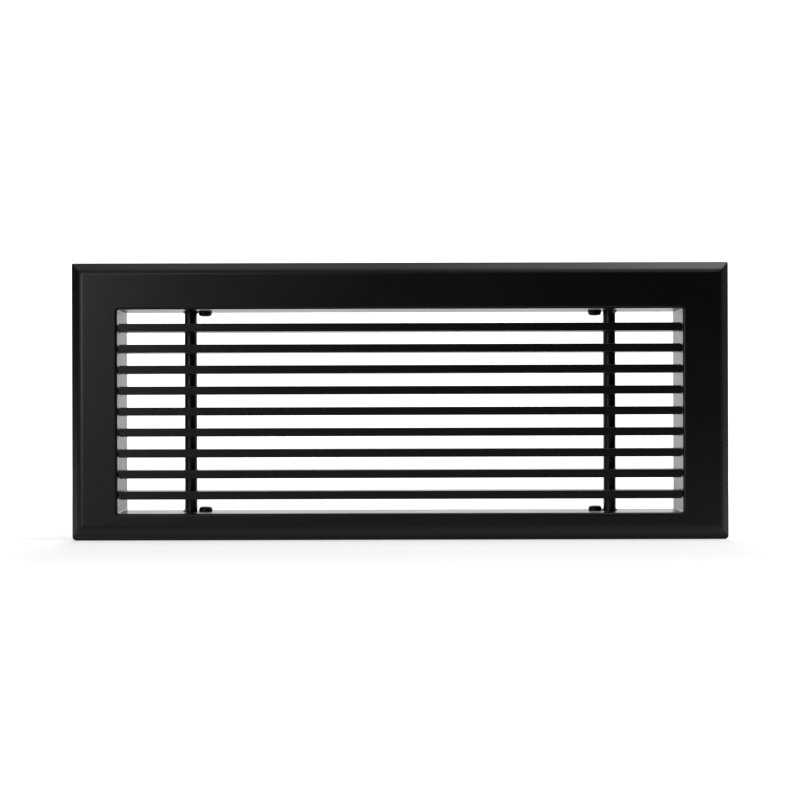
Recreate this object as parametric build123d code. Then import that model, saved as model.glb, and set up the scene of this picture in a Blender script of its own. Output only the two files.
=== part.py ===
"""Linear supply grille: a pressed steel face frame with a neck, and flat bars welded to two rods in it.

Millimetres. X runs along the bars, +Z is up, and +Y runs into the duct. The origin is the middle of
the duct opening in the plane of the wall, so the face stands in front of it at negative Y.
"""
from build123d import *

import os
from math import sqrt

# Face frame
opening_width = 342.0         # clear width inside the neck
opening_height = 123.5        # clear height inside the neck
side_border = 28.1            # neck wall to the frame's outer edge, left and right
top_border = 28.3
bottom_border = 14.3          # neck wall to the foot of the bottom chamfer
bottom_hem = 2.2              # folded edge that stands out below the bottom chamfer
sheet = 1.2                   # steel sheet that the frame is pressed from
chamfer_width = 5.5           # slope round the face, measured across the face
chamfer_depth = 5.0           # the same slope, measured along the neck
chamfer_bend = 3.0            # outside radius between the face and the slope
fold_radius = 1.0             # outside radius at the back of the folded edge
seat_width = 6.0              # edge turned in behind the face, which lies on the wall
top_corner = 1.0              # outline radius of the two top corners
bottom_corner = 2.4           # outline radius of the two bottom corners
neck_reach = 30.0             # how far the neck runs into the duct behind the wall's plane
neck_bend = 1.5               # outside radius where the face turns into the neck
neck_corner = 1.5             # inside radius of the neck's four corners
corner_gap = 0.4              # open joint between two neck walls
corner_gap_start = 10.0       # the joint opens this far behind the face

# Core: flat bars welded to two round cross rods
bar_count = 9
bar_thickness = 5.0
bar_depth = 19.0
bar_recess = 2.0              # front of the bars behind the face
end_gap = 8.45                # first and last bar to the neck wall
bar_end_clearance = 0.5       # end of a bar to the neck's side wall
bar_end_radius = 1.2          # rounded corners at a bar's ends
bar_edge_radius = 0.4         # broken edges along a bar
rod_diameter = 7.6
rod_from_side = 41.7          # rod axis to the neck's side wall
weld_seat = 1.0               # how deep a rod lies in the back edge of each bar

weld_leg = 1.6                # weld between a rod's end and the neck, along both
weld_arc = 150.0              # degrees of the rod's girth that the weld runs

# Screws and nuts that hold the spring clips
screw_from_rod = 9.0          # screw axis to rod axis, towards the middle of the grille
screw_diameter = 4.0
screw_length = 7.0            # under the head
screw_hole_clearance = 0.25   # all round the screw in neck and clip
head_diameter = 8.2
head_height = 3.0
head_edge_radius = 1.8
recess_length = 4.2           # cross recess of the head
recess_width = 0.9
recess_depth = 1.6
nut_across_flats = 7.0
nut_height = 3.2
nut_chamfer = 0.6
thread_clearance = 0.05       # the thread is drawn as two plain cylinders this far apart

# Spring clips outside the neck
clip_thickness = 0.8
clip_pad_width = 13.0         # under the nut, along the neck
clip_pad_depth = 12.0
clip_pad_corner = 1.0
leaf_width = 14.0
leaf_height = 8.0             # crest of the leaf above the neck
leaf_crest = 4.0              # crest behind the wall's plane
leaf_lead = 3.0               # short slope in front of the crest
leaf_drop = 2.5               # how far that slope falls
hairpin_height = 3.2          # bend that turns the leaf back over the neck
leaf_bend = 1.2               # radius along the middle of the strip

# Worked out from the above
hem_height = 2 * sheet
face = -(hem_height + chamfer_depth)
half_width = opening_width / 2
half_height = opening_height / 2
outer_half_width = half_width + side_border
outer_top = half_height + top_border
outer_bottom = -(half_height + bottom_border)
bars_front = face + bar_recess
bars_back = bars_front + bar_depth
bar_pitch = (opening_height - 2 * end_gap - bar_thickness) / (bar_count - 1)
rod_x = half_width - rod_from_side
rod_y = bars_back - weld_seat + rod_diameter / 2
screw_x = rod_x - screw_from_rod
screw_hole = screw_diameter / 2 + screw_hole_clearance
neck_outside = half_height + sheet
far = 2 * (opening_width + opening_height)

# Plane whose X runs up the frame and whose Y runs along the neck
across_height = Plane((0, 0, 0), x_dir=(0, 0, 1), z_dir=(-1, 0, 0))


def pan_section(low_edge, high_edge, inset):
    """Section of the pressed face between two outer edges, moved inward by inset."""
    outline = Polyline(
        (low_edge, 0),
        (low_edge, -hem_height),
        (low_edge + chamfer_width, face),
        (high_edge - chamfer_width, face),
        (high_edge, -hem_height),
        (high_edge, 0),
        close=True,
    )
    section = make_face(outline)
    if inset:
        section = offset(section, amount=-inset, kind=Kind.INTERSECTION)
    return section


def pan(inset):
    """The face as a solid block whose slopes meet in crisp mitres, moved inward by inset."""
    lengthwise = extrude(across_height * pan_section(outer_bottom, outer_top, inset), far, both=True)
    upright = extrude(pan_section(-outer_half_width, outer_half_width, inset), far, both=True)
    block = lengthwise & upright
    return fillet(block.faces().sort_by(Axis.Y)[0].edges(), chamfer_bend - inset)


def rectangle_prism(low, high, half_span, front, back, low_radius=0.0, high_radius=0.0):
    """Block between two heights and two depths, with its corners rounded as seen from the front."""
    outline = Pos(0, (low + high) / 2) * Rectangle(2 * half_span, high - low)
    rows = outline.vertices().group_by(Axis.Y)
    low_row, high_row = rows[0], rows[-1]
    if low_radius:
        outline = fillet(low_row, low_radius)
        high_row = outline.vertices().group_by(Axis.Y)[-1]
    if high_radius:
        outline = fillet(high_row, high_radius)
    return extrude(Plane.XZ.offset(-back) * outline, back - front)


def corner_cutter(x_side, z_side, edge, radius):
    """What is taken off one outer corner of the face to round it as seen from the front."""
    depth = 4 * hem_height + 2 * chamfer_depth
    corner = Pos(x_side * outer_half_width, 0, edge) * Box(2 * radius, depth, 2 * radius)
    centre = Pos(x_side * (outer_half_width - radius), 0, edge - z_side * radius)
    return corner - centre * Rot(90, 0, 0) * Cylinder(radius, 2 * depth)


def make_face_frame():
    """One sheet: face, slopes, folded edge with the seat behind it, and four neck walls bent back."""
    hem_low = outer_bottom - bottom_hem
    frame = pan(0) + rectangle_prism(hem_low, outer_bottom, outer_half_width, -hem_height, 0)
    hem_front = frame.faces().filter_by(Axis.Y).sort_by(Axis.Z)[0].edges().sort_by(Axis.Z)[0]
    back_loop = frame.faces().sort_by(Axis.Y)[-1].edges()
    frame = fillet(back_loop + [hem_front], fold_radius)
    for x_side in (-1, 1):
        frame -= corner_cutter(x_side, 1, outer_top, top_corner)
        frame -= corner_cutter(x_side, -1, hem_low, bottom_corner)
    frame -= pan(sheet)
    frame -= rectangle_prism(
        outer_bottom + seat_width, outer_top - seat_width, outer_half_width - seat_width, -2 * sheet, 1
    )

    outer_corner = neck_corner + sheet
    neck = rectangle_prism(
        -neck_outside, neck_outside, half_width + sheet, face, neck_reach, outer_corner, outer_corner
    )
    bore = rectangle_prism(
        -half_height, half_height, half_width, face - 1, neck_reach + 1, neck_corner, neck_corner
    )
    frame = frame + neck - bore

    rim = frame.faces().sort_by(Axis.Y)[0].inner_wires()[0]
    frame = fillet(rim.edges(), neck_bend)

    # The side walls stop short of the long walls from corner_gap_start on
    gap_front = face + corner_gap_start
    gap_length = neck_reach + 1 - gap_front
    gap_width = 2 * (neck_corner + sheet)
    for x_side in (-1, 1):
        for z_side in (-1, 1):
            gap_z = z_side * (half_height - corner_gap / 2)
            gap = Pos(x_side * half_width, gap_front + gap_length / 2, gap_z)
            frame -= gap * Box(gap_width + corner_gap, gap_length, corner_gap)
            hole = Pos(x_side * screw_x, rod_y, z_side * half_height)
            frame -= hole * Cylinder(screw_hole, 4 * sheet)
    return frame


def make_bar(height):
    """Flat bar with rounded ends and broken edges, notched at the back for the two rods."""
    length = opening_width - 2 * bar_end_clearance
    middle = (bars_front + bars_back) / 2
    bar = Pos(0, middle, height) * Box(length, bar_depth, bar_thickness)
    bar = fillet(bar.edges().filter_by(Axis.Y), bar_end_radius)
    front_and_back = bar.faces().sort_by(Axis.Y)
    bar = fillet(front_and_back[0].edges() + front_and_back[-1].edges(), bar_edge_radius)
    for x_side in (-1, 1):
        bar -= Pos(x_side * rod_x, rod_y, height) * Cylinder(rod_diameter / 2, 2 * bar_thickness)
    return bar


def make_weld(x_side, z_side):
    """Bead in the corner between a rod's end and the neck, on the outer side or at the back."""
    rod_radius = rod_diameter / 2
    section = Polyline((rod_radius, 0), (rod_radius + weld_leg, 0), (rod_radius, -weld_leg), close=True)
    bead = revolve(Plane.XZ * make_face(section), Axis.Z, weld_arc)
    towards = 90 if x_side * z_side < 0 else 90 - 90 * x_side
    bead = Rot(0, 0, towards - weld_arc / 2) * bead
    if z_side < 0:
        bead = mirror(bead, about=Plane.XY)
    return Pos(x_side * rod_x, rod_y, z_side * half_height) * bead


def make_rod(x_side):
    """Round cross rod, welded into every bar and at both ends to the neck's long walls."""
    rod = Pos(x_side * rod_x, rod_y, 0) * Cylinder(rod_diameter / 2, 2 * half_height)
    return rod + make_weld(x_side, 1) + make_weld(x_side, -1)


# The pieces below are drawn for the top right corner and mirrored to the other three


def make_screw():
    """Pan head screw with a cross recess, head inside the neck and shank pointing out."""
    head = Cylinder(head_diameter / 2, head_height, align=(Align.CENTER, Align.CENTER, Align.MAX))
    head = fillet(head.edges().sort_by(Axis.Z)[0], head_edge_radius)
    cross = Box(recess_length, recess_width, recess_depth)
    cross += Box(recess_width, recess_length, recess_depth)
    head -= Pos(0, 0, recess_depth / 2 - head_height) * cross
    shank = Cylinder(screw_diameter / 2, screw_length, align=(Align.CENTER, Align.CENTER, Align.MIN))
    shank = chamfer(shank.edges().sort_by(Axis.Z)[-1], screw_diameter / 8)
    return Pos(screw_x, rod_y, half_height) * (head + shank)


def make_nut():
    """Hexagon nut with the corners of both faces turned off."""
    across_corners = nut_across_flats * 2 / sqrt(3)
    blank = extrude(RegularPolygon(nut_across_flats / 2, 6, major_radius=False), nut_height)
    turned = Cylinder(across_corners / 2, nut_height, align=(Align.CENTER, Align.CENTER, Align.MIN))
    turned = chamfer(turned.edges().filter_by(GeomType.CIRCLE), nut_chamfer / 2, nut_chamfer)
    nut = (blank & turned) - Cylinder(screw_diameter / 2 + thread_clearance, 3 * nut_height)
    return Pos(screw_x, rod_y, neck_outside + clip_thickness) * nut


def make_clip():
    """Spring clip: a pad under the nut, and a leaf beside it that bends back and grips the duct."""
    pad_outline = fillet(Rectangle(clip_pad_width, clip_pad_depth).vertices(), clip_pad_corner)
    pad = extrude(Pos(screw_x, rod_y, neck_outside) * pad_outline, clip_thickness)
    pad -= Pos(screw_x, rod_y, neck_outside) * Cylinder(screw_hole, 4 * clip_thickness)

    half = clip_thickness / 2
    rear = rod_y + clip_pad_depth / 2
    middle_line = FilletPolyline(
        (rear - clip_pad_depth, half),
        (rear + leaf_bend, half),
        (rear + leaf_bend, half + hairpin_height),
        (leaf_crest, leaf_height - half),
        (leaf_crest - leaf_lead, leaf_height - half - leaf_drop),
        radius=leaf_bend,
    )
    strip = trace(middle_line, line_width=clip_thickness)
    leaf_middle = screw_x - clip_pad_width / 2 - leaf_width / 2
    leaf = Pos(leaf_middle, 0, neck_outside) * extrude(Plane.YZ * strip, leaf_width / 2, both=True)
    bridge_width = 2 * clip_pad_corner
    bridge = Pos(screw_x - clip_pad_width / 2, rod_y, neck_outside + half)
    bridge = bridge * Box(bridge_width, clip_pad_depth - 2 * clip_pad_corner, clip_thickness)
    return pad + leaf + bridge


def at_corner(piece, x_side, z_side):
    """The same piece at another corner of the neck."""
    if x_side < 0:
        piece = mirror(piece, about=Plane.YZ)
    if z_side < 0:
        piece = mirror(piece, about=Plane.XY)
    return piece


def save(name, shape):
    shape.label = name
    export_step(shape, f"parts/{name}.step")


os.makedirs("parts", exist_ok=True)

save("face_frame", make_face_frame())

for number in range(bar_count):
    height = half_height - end_gap - bar_thickness / 2 - number * bar_pitch
    save(f"bar_{number + 1}", make_bar(height))

for side, x_side in (("left", -1), ("right", 1)):
    save(f"rod_{side}", make_rod(x_side))

corner_pieces = {
    "screw": make_screw(),
    "nut": make_nut(),
    "spring_clip": make_clip(),
}
for kind, piece in corner_pieces.items():
    for level, z_side in (("top", 1), ("bottom", -1)):
        for side, x_side in (("left", -1), ("right", 1)):
            save(f"{kind}_{level}_{side}", at_corner(piece, x_side, z_side))
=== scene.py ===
import math

import bmesh
import bpy
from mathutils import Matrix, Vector


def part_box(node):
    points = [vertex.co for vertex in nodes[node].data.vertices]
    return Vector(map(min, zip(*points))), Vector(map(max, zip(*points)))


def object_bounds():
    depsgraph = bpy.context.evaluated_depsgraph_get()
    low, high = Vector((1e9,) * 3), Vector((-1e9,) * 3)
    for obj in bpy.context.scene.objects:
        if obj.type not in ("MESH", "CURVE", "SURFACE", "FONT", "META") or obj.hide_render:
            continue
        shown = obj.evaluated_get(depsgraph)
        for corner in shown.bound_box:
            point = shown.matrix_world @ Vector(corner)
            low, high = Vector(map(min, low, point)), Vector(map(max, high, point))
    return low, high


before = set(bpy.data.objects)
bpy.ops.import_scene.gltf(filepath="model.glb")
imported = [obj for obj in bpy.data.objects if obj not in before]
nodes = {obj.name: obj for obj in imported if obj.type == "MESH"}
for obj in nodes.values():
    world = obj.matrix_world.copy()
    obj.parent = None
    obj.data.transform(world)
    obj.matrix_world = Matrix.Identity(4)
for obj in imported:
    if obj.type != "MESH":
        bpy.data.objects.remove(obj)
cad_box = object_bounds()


# A Mix node's colour sockets share their names with its number sockets, so they go by their place
mix_dark, mix_light, mix_result = 6, 7, 2


def linear(hex_text):
    """An sRGB hex colour as linear red, green, blue and a full alpha."""
    shares = [int(hex_text[k:k + 2], 16) / 255 for k in (1, 3, 5)]
    return [s / 12.92 if s <= 0.04045 else ((s + 0.055) / 1.055) ** 2.4 for s in shares] + [1.0]


def add(tree, kind, settings=None, values=None, links=None):
    """A node with its settings, its unlinked values and its incoming links."""
    made = tree.nodes.new(kind)
    for name, value in (settings or {}).items():
        setattr(made, name, value)
    for name, value in (values or {}).items():
        made.inputs[name].default_value = value
    for name, source in (links or {}).items():
        tree.links.new(source, made.inputs[name])
    return made


def new_material(name):
    """An empty node material and its surface shader, joined to the output."""
    material = bpy.data.materials.new(name)
    material.use_nodes = True
    tree = material.node_tree
    tree.nodes.clear()
    shader = add(tree, "ShaderNodeBsdfPrincipled")
    add(tree, "ShaderNodeOutputMaterial", links={"Surface": shader.outputs["BSDF"]})
    return material, tree, shader


def dress(names, material):
    """Gives CAD nodes one material in every slot."""
    for name in names:
        piece = nodes[name]
        piece.data.materials.clear()
        piece.data.materials.append(material)


def powder_coat(name, dark, light, roughness, specular):
    """Satin powder coat: baked resin over steel, which gives a soft sheen and a faint pebbled skin."""
    material, tree, shader = new_material(name)
    shader.inputs["IOR"].default_value = 1.5
    shader.inputs["Metallic"].default_value = 0.0
    shader.inputs["Specular IOR Level"].default_value = specular
    place = add(tree, "ShaderNodeTexCoord").outputs["Object"]

    # Film thickness wanders over about 60 mm, and the sheen changes a little with it
    film_patch = 0.060
    sheen_change = 0.04
    film = add(tree, "ShaderNodeTexNoise",
               values={"Scale": 1 / film_patch, "Detail": 3.0, "Roughness": 0.5},
               links={"Vector": place})
    sheen = add(tree, "ShaderNodeMapRange",
                values={"From Min": 0.1, "From Max": 0.9,
                        "To Min": roughness - sheen_change, "To Max": roughness + sheen_change},
                links={"Value": film.outputs["Fac"]})
    tree.links.new(sheen.outputs["Result"], shader.inputs["Roughness"])

    # Pigment and grains of the powder, 0.5 mm: drawn at 1.2 mm, since finer grains don't show
    grain_size = 0.0012
    grain = add(tree, "ShaderNodeTexNoise",
                values={"Scale": 1 / grain_size, "Detail": 2.0, "Roughness": 0.6},
                links={"Vector": place})
    tint = add(tree, "ShaderNodeMix", {"data_type": "RGBA"},
               {mix_dark: linear(dark), mix_light: linear(light)}, {"Factor": grain.outputs["Fac"]})
    tree.links.new(tint.outputs[mix_result], shader.inputs["Base Color"])

    # Pebbled skin where the melted powder ran together: crests about 1.5 mm apart and up to
    # 12 microns high, drawn at half strength
    pebble_spacing = 0.0015
    pebble_height = 0.000012
    pebble = add(tree, "ShaderNodeTexNoise",
                 values={"Scale": 1 / pebble_spacing, "Detail": 1.0, "Roughness": 0.4},
                 links={"Vector": place})
    skin = add(tree, "ShaderNodeBump", values={"Strength": 0.5, "Distance": pebble_height},
               links={"Height": pebble.outputs["Fac"]})
    tree.links.new(skin.outputs["Normal"], shader.inputs["Normal"])
    return material


def round_folds(material):
    """The bend of each fold fades out over 2.2 mm on both sides, so its highlight is broad and soft."""
    tree = material.node_tree
    skin = next(n for n in tree.nodes if n.bl_idname == "ShaderNodeBump")
    place = add(tree, "ShaderNodeTexCoord").outputs["Object"]
    split = add(tree, "ShaderNodeSeparateXYZ", links={"Vector": place})
    width = add(tree, "ShaderNodeMath", {"operation": "ABSOLUTE"}, links={0: split.outputs["X"]})

    # The folds run 5.5 mm inside the slopes' outer edges, below which the hem stands out 2.2 mm
    slope_width = 0.0055
    hem_width = 0.0022
    low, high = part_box("face_frame")
    fold_side = high.x - slope_width
    fold_above = high.z - slope_width
    fold_below = low.z + hem_width + slope_width

    # Distance outside the rectangle of folds, negative inside it, mitred at the corners
    side = add(tree, "ShaderNodeMath", {"operation": "SUBTRACT"}, {1: fold_side}, {0: width.outputs[0]})
    above = add(tree, "ShaderNodeMath", {"operation": "SUBTRACT"}, {1: fold_above}, {0: split.outputs["Z"]})
    below = add(tree, "ShaderNodeMath", {"operation": "MULTIPLY_ADD"}, {1: -1.0, 2: fold_below},
                {0: split.outputs["Z"]})
    upright = add(tree, "ShaderNodeMath", {"operation": "MAXIMUM"},
                  links={0: above.outputs[0], 1: below.outputs[0]})
    past = add(tree, "ShaderNodeMath", {"operation": "MAXIMUM"},
               links={0: side.outputs[0], 1: upright.outputs[0]})
    away = add(tree, "ShaderNodeMath", {"operation": "ABSOLUTE"}, links={0: past.outputs[0]})

    bend_reach = 0.0022
    bend_depth = 0.00022
    dip = add(tree, "ShaderNodeMapRange", {"interpolation_type": "SMOOTHSTEP"},
              {"From Max": bend_reach, "To Min": -1.0, "To Max": 0.0}, {"Value": away.outputs[0]})
    crest = add(tree, "ShaderNodeBump", values={"Strength": 1.0, "Distance": bend_depth},
                links={"Height": dip.outputs["Result"]})
    tree.links.new(crest.outputs["Normal"], skin.inputs["Normal"])


frame_coat = powder_coat("satin black powder coat on pressed steel", "#070707", "#0a0a0a", 0.3, 0.3)
round_folds(frame_coat)
dress(["face_frame"], frame_coat)


# Bars: nine flat steel bars, 19 mm deep, cut to length, tumbled and coated as one welded core.
# The coat is the frame's satin black, without the frame's folds.
dress([f"bar_{k}" for k in range(1, 10)],
      powder_coat("satin black powder coat on flat bar", "#070707", "#0a0a0a", 0.3, 0.3))


# Rods: two drawn round steel rods welded across the back of the bars and, with a short bead at each
# end, to the neck's long walls. Their coat is a little duller than the bars'.
dress(["rod_left", "rod_right"],
      powder_coat("satin black powder coat on drawn rod", "#070707", "#0a0a0a", 0.34, 0.26))


# Screws: four pan head machine screws M4 through the neck's long walls, heads inside.
# Black zinc plated and sealed, so they are a dull black, with hardly any sheen.
corners = [f"{level}_{side}" for level in ("top", "bottom") for side in ("left", "right")]


def screw_finish():
    """Black zinc with a rolled thread on the shank."""
    material, tree, shader = new_material("black zinc plate on rolled screw")
    shader.inputs["IOR"].default_value = 1.5
    shader.inputs["Specular IOR Level"].default_value = 0.25
    place = add(tree, "ShaderNodeTexCoord").outputs["Object"]

    # Blotches of the sealer, about 1.8 mm across, which change the colour and the sheen together
    blotch_size = 0.0018
    blotch = add(tree, "ShaderNodeTexNoise", values={"Scale": 1 / blotch_size, "Detail": 3.0},
                 links={"Vector": place})
    tint = add(tree, "ShaderNodeMix", {"data_type": "RGBA"},
               {mix_dark: linear("#070708"), mix_light: linear("#0c0c0e")},
               {"Factor": blotch.outputs["Fac"]})
    tree.links.new(tint.outputs[mix_result], shader.inputs["Base Color"])
    sheen = add(tree, "ShaderNodeMapRange", values={"To Min": 0.4, "To Max": 0.5},
                links={"Value": blotch.outputs["Fac"]})
    tree.links.new(sheen.outputs["Result"], shader.inputs["Roughness"])

    # M4 thread, 0.7 mm pitch, only on the 7 mm of shank past the head
    thread_pitch = 0.0007
    thread_depth = 0.0002
    shank_length = 0.007
    head_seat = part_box("screw_top_left")[1].z - shank_length
    split = add(tree, "ShaderNodeSeparateXYZ", links={"Vector": place})
    height = add(tree, "ShaderNodeMath", {"operation": "ABSOLUTE"}, links={0: split.outputs["Z"]})
    shank = add(tree, "ShaderNodeMath", {"operation": "GREATER_THAN"}, {1: head_seat},
                {0: height.outputs[0]})
    turns = add(tree, "ShaderNodeMath", {"operation": "MULTIPLY"}, {1: 2 * math.pi / thread_pitch},
                {0: height.outputs[0]})
    ridge = add(tree, "ShaderNodeMath", {"operation": "SINE"}, links={0: turns.outputs[0]})
    thread = add(tree, "ShaderNodeMath", {"operation": "MULTIPLY"},
                 links={0: ridge.outputs[0], 1: shank.outputs[0]})
    skin = add(tree, "ShaderNodeBump", values={"Strength": 1.0, "Distance": thread_depth},
               links={"Height": thread.outputs[0]})
    tree.links.new(skin.outputs["Normal"], shader.inputs["Normal"])
    return material


dress([f"screw_{c}" for c in corners], screw_finish())


# Nuts: four hexagon nuts M4 outside the neck, cold formed and zinc plated bright.
# The plate is thin and even, with a faint cloud from the passivating bath.
def nut_finish():
    """Bright zinc plate: pale metal with soft cloudy reflections and fine pits."""
    material, tree, shader = new_material("bright zinc plate on formed nut")
    shader.inputs["Metallic"].default_value = 1.0
    place = add(tree, "ShaderNodeTexCoord").outputs["Object"]

    cloud_size = 0.0025
    cloud = add(tree, "ShaderNodeTexNoise", values={"Scale": 1 / cloud_size, "Detail": 4.0},
                links={"Vector": place})
    tint = add(tree, "ShaderNodeMix", {"data_type": "RGBA"},
               {mix_dark: linear("#a9acae"), mix_light: linear("#c9cacb")},
               {"Factor": cloud.outputs["Fac"]})
    tree.links.new(tint.outputs[mix_result], shader.inputs["Base Color"])
    sheen = add(tree, "ShaderNodeMapRange", values={"To Min": 0.24, "To Max": 0.4},
                links={"Value": cloud.outputs["Fac"]})
    tree.links.new(sheen.outputs["Result"], shader.inputs["Roughness"])

    pit_spacing = 0.0004
    pit_depth = 0.00001
    pits = add(tree, "ShaderNodeTexNoise", values={"Scale": 1 / pit_spacing, "Detail": 2.0},
               links={"Vector": place})
    skin = add(tree, "ShaderNodeBump", values={"Strength": 0.4, "Distance": pit_depth},
               links={"Height": pits.outputs["Fac"]})
    tree.links.new(skin.outputs["Normal"], shader.inputs["Normal"])
    return material


dress([f"nut_{c}" for c in corners], nut_finish())


# Spring clips: four leaves of tempered spring steel strip, punched and bent, held under the nuts.
# They are left bare and oiled: dull grey metal with the rolling lines along the strip.
def clip_finish():
    """Tempered spring steel: dark grey metal, rolling lines along the strip, faint temper stain."""
    material, tree, shader = new_material("tempered spring steel strip")
    shader.inputs["Metallic"].default_value = 1.0
    place = add(tree, "ShaderNodeTexCoord").outputs["Object"]

    stain_size = 0.008
    stain = add(tree, "ShaderNodeTexNoise", values={"Scale": 1 / stain_size, "Detail": 3.0},
                links={"Vector": place})
    tint = add(tree, "ShaderNodeMix", {"data_type": "RGBA"},
               {mix_dark: linear("#5f6062"), mix_light: linear("#7c7c7a")},
               {"Factor": stain.outputs["Fac"]})
    tree.links.new(tint.outputs[mix_result], shader.inputs["Base Color"])

    # Rolling lines 0.3 mm apart across the strip and about 20 mm long along it
    line_spacing = 0.0003
    line_length = 0.02
    line_depth = 0.00002
    along = add(tree, "ShaderNodeMapping", {"vector_type": "POINT"},
                {"Scale": (1 / line_spacing, 1 / line_length, 1 / line_length)}, {"Vector": place})
    lines = add(tree, "ShaderNodeTexNoise", values={"Scale": 1.0, "Detail": 2.0},
                links={"Vector": along.outputs[0]})
    sheen = add(tree, "ShaderNodeMapRange", values={"To Min": 0.3, "To Max": 0.5},
                links={"Value": lines.outputs["Fac"]})
    tree.links.new(sheen.outputs["Result"], shader.inputs["Roughness"])
    skin = add(tree, "ShaderNodeBump", values={"Strength": 0.4, "Distance": line_depth},
               links={"Height": lines.outputs["Fac"]})
    tree.links.new(skin.outputs["Normal"], shader.inputs["Normal"])
    return material


dress([f"spring_clip_{c}" for c in corners], clip_finish())


# Studio: a white table under the grille's lower edge and a white wall behind it, both plain matt
# paper. The room past the table is white to the eye and nearly dark in reflections.
def white_paper(name, lift, mirrored_in_front, mirrored_behind):
    """Matt white paper that also glows by itself for the eye and in reflections."""
    material = bpy.data.materials.new(name)
    material.use_nodes = True
    tree = material.node_tree
    tree.nodes.clear()
    paper = add(tree, "ShaderNodeBsdfDiffuse", values={"Color": linear("#e7e7e7")})
    ray = add(tree, "ShaderNodeLightPath")
    place = add(tree, "ShaderNodeTexCoord").outputs["Object"]

    # For the eye the glow starts at lift round the grille and is full white from 1.1 m away
    lift_until = 0.35
    white_from = 1.1
    away = add(tree, "ShaderNodeVectorMath", {"operation": "LENGTH"}, links={0: place})
    rise = add(tree, "ShaderNodeMapRange", {"interpolation_type": "SMOOTHSTEP"},
               {"From Min": lift_until, "From Max": white_from, "To Min": lift, "To Max": 1.0},
               {"Value": away.outputs["Value"]})
    seen = add(tree, "ShaderNodeMath", {"operation": "MAXIMUM"},
               links={0: ray.outputs["Is Camera Ray"], 1: ray.outputs["Is Transmission Ray"]})
    eye = add(tree, "ShaderNodeMath", {"operation": "MULTIPLY"},
              links={0: seen.outputs[0], 1: rise.outputs["Result"]})

    # Painted reflection: in reflections the paper glows at one level in front of the grille and another
    # behind it, joined under it; the dimmer level in front is painted shade
    front_until = -0.025
    behind_from = 0.015
    depth = add(tree, "ShaderNodeSeparateXYZ", links={"Vector": place})
    mirrored = add(tree, "ShaderNodeMapRange",
                   values={"From Min": front_until, "From Max": behind_from,
                           "To Min": mirrored_in_front, "To Max": mirrored_behind},
                   links={"Value": depth.outputs["Y"]})
    level = add(tree, "ShaderNodeMath", {"operation": "MULTIPLY_ADD"},
                links={0: ray.outputs["Is Glossy Ray"], 1: mirrored.outputs["Result"], 2: eye.outputs[0]})
    glow = add(tree, "ShaderNodeEmission", values={"Color": linear("#ffffff")},
               links={"Strength": level.outputs[0]})
    both = add(tree, "ShaderNodeAddShader", links={0: paper.outputs[0], 1: glow.outputs[0]})
    add(tree, "ShaderNodeOutputMaterial", links={"Surface": both.outputs[0]})
    return material


def sheet_of_paper(name, outline, material):
    """A flat four-cornered sheet of the studio."""
    mesh = bmesh.new()
    mesh.faces.new([mesh.verts.new(c) for c in outline])
    data = bpy.data.meshes.new(name)
    mesh.to_mesh(data)
    mesh.free()
    data.materials.append(material)
    made = bpy.data.objects.new(name, data)
    bpy.context.scene.collection.objects.link(made)


# The table lies 0.05 mm under the grille, ends 0.72 m in front of it and meets the wall 1.2 m behind
table_top = cad_box[0][2] - 0.00005
table_front = -0.72
wall_behind = 1.2
wall_top = 3.0
paper_side = 3.0
# The table glows dimmer in reflections in front of the grille than behind it: painted shade on the front of
# the table, painted light behind it
sheet_of_paper("table",
               [(-paper_side, table_front, table_top), (paper_side, table_front, table_top),
                (paper_side, wall_behind, table_top), (-paper_side, wall_behind, table_top)],
               white_paper("white paper of the table", lift=0.49, mirrored_in_front=0.03,
                           mirrored_behind=0.6))
sheet_of_paper("wall",
               [(-paper_side, wall_behind, table_top), (paper_side, wall_behind, table_top),
                (paper_side, wall_behind, wall_top), (-paper_side, wall_behind, wall_top)],
               white_paper("white paper of the wall", lift=1.0, mirrored_in_front=1.0,
                           mirrored_behind=1.0))

room = bpy.data.worlds.new("room")
bpy.context.scene.world = room
room.use_nodes = True
room_tree = room.node_tree
room_tree.nodes.clear()
ray = add(room_tree, "ShaderNodeLightPath")
seen = add(room_tree, "ShaderNodeMath", {"operation": "MAXIMUM"},
           links={0: ray.outputs["Is Camera Ray"], 1: ray.outputs["Is Transmission Ray"]})
level = add(room_tree, "ShaderNodeMapRange", values={"To Min": 0.01, "To Max": 1.0},
            links={"Value": seen.outputs[0]})
air = add(room_tree, "ShaderNodeBackground", values={"Color": linear("#ffffff")},
          links={"Strength": level.outputs["Result"]})
add(room_tree, "ShaderNodeOutputWorld", links={"Surface": air.outputs[0]})


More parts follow.
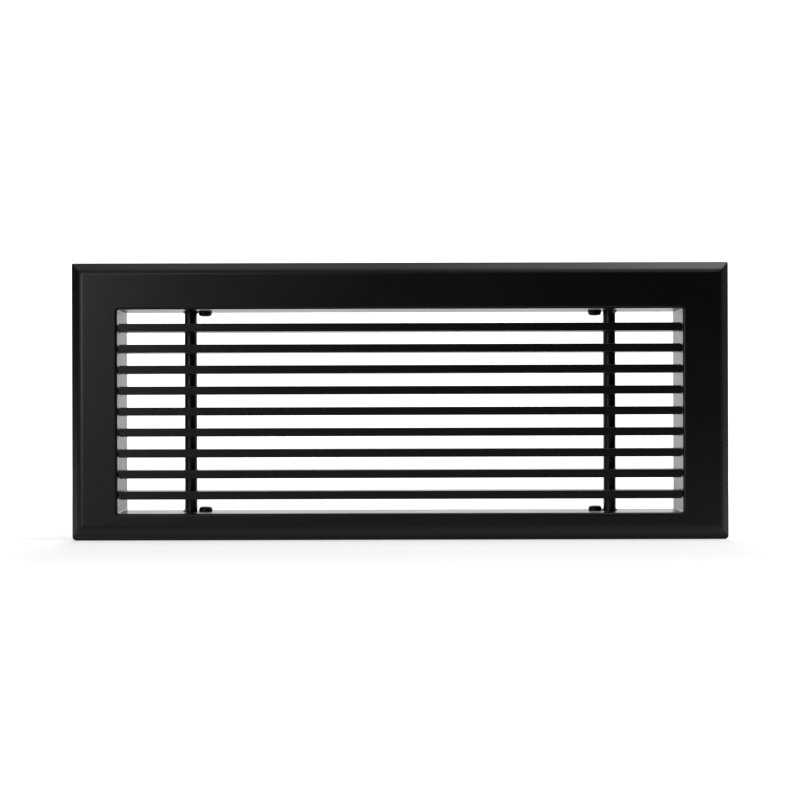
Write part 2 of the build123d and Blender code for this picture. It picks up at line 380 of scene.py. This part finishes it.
# Lamps: twelve square soft lights, each turned towards the middle of the opening.
# They stand in front, mostly on the left, and overhead, with one at the right and one behind.
def soft_light(name, place, size, watts):
    """A square soft light, turned towards the middle of the opening."""
    lamp = bpy.data.lights.new(name, "AREA")
    lamp.shape = "SQUARE"
    lamp.size = size
    lamp.energy = watts
    made = bpy.data.objects.new(name, lamp)
    bpy.context.scene.collection.objects.link(made)
    made.location = place
    made.rotation_euler = (-Vector(place)).to_track_quat("-Z", "Y").to_euler()


soft_light("front light on the left", (-0.85, -1.5, 0.3), size=0.7, watts=4.6)
soft_light("far light on the left", (-1.7, -0.9, 0.3), size=1.0, watts=1.3)
soft_light("high light in front", (-0.6, -1.8, 1.0), size=0.8, watts=3.6)
soft_light("low light on the left", (-1.1, -1.2, 0.0), size=0.6, watts=1.9)
soft_light("high side light on the right", (1.6, -0.1, 0.4), size=0.9, watts=0.7)
soft_light("overhead light on the right", (0.4, 0.0, 1.2), size=0.7, watts=2.2)
soft_light("overhead light on the left", (-0.4, 0.0, 1.2), size=0.7, watts=0.9)
soft_light("overhead light in the middle", (0.0, 0.0, 1.2), size=0.7, watts=1.4)
soft_light("high front light on the left", (-0.5, -0.7, 1.1), size=0.7, watts=0.9)
soft_light("high front light on the right", (0.4, -0.7, 1.1), size=0.7, watts=1.5)
soft_light("overhead spot on the right", (0.5, -0.1, 1.2), size=0.4, watts=2.4)
soft_light("low light behind", (0.0, 0.95, 0.9), size=0.8, watts=6.3)


# Camera: level with the middle of the opening, 1 m in front of the face, very slightly rolled.
# Its focal length and shifts are in pixels of the photo, which is 800 px wide.
photo_width = 800
focal_length = 1656
shift_across = -1
shift_up = 11
viewing_distance = 1.0
roll_degrees = 0.15

camera = bpy.data.cameras.new("camera")
camera.sensor_width = 36.0
camera.lens = focal_length / photo_width * camera.sensor_width
camera.shift_x = shift_across / photo_width
camera.shift_y = shift_up / photo_width
viewer = bpy.data.objects.new("camera", camera)
bpy.context.scene.collection.objects.link(viewer)
viewer.location = (0.0005, cad_box[0][1] - viewing_distance, 0.0)
viewer.rotation_euler = (math.radians(90), math.radians(roll_degrees), 0)
bpy.context.scene.camera = viewer

bpy.context.scene.view_settings.view_transform = "Standard"
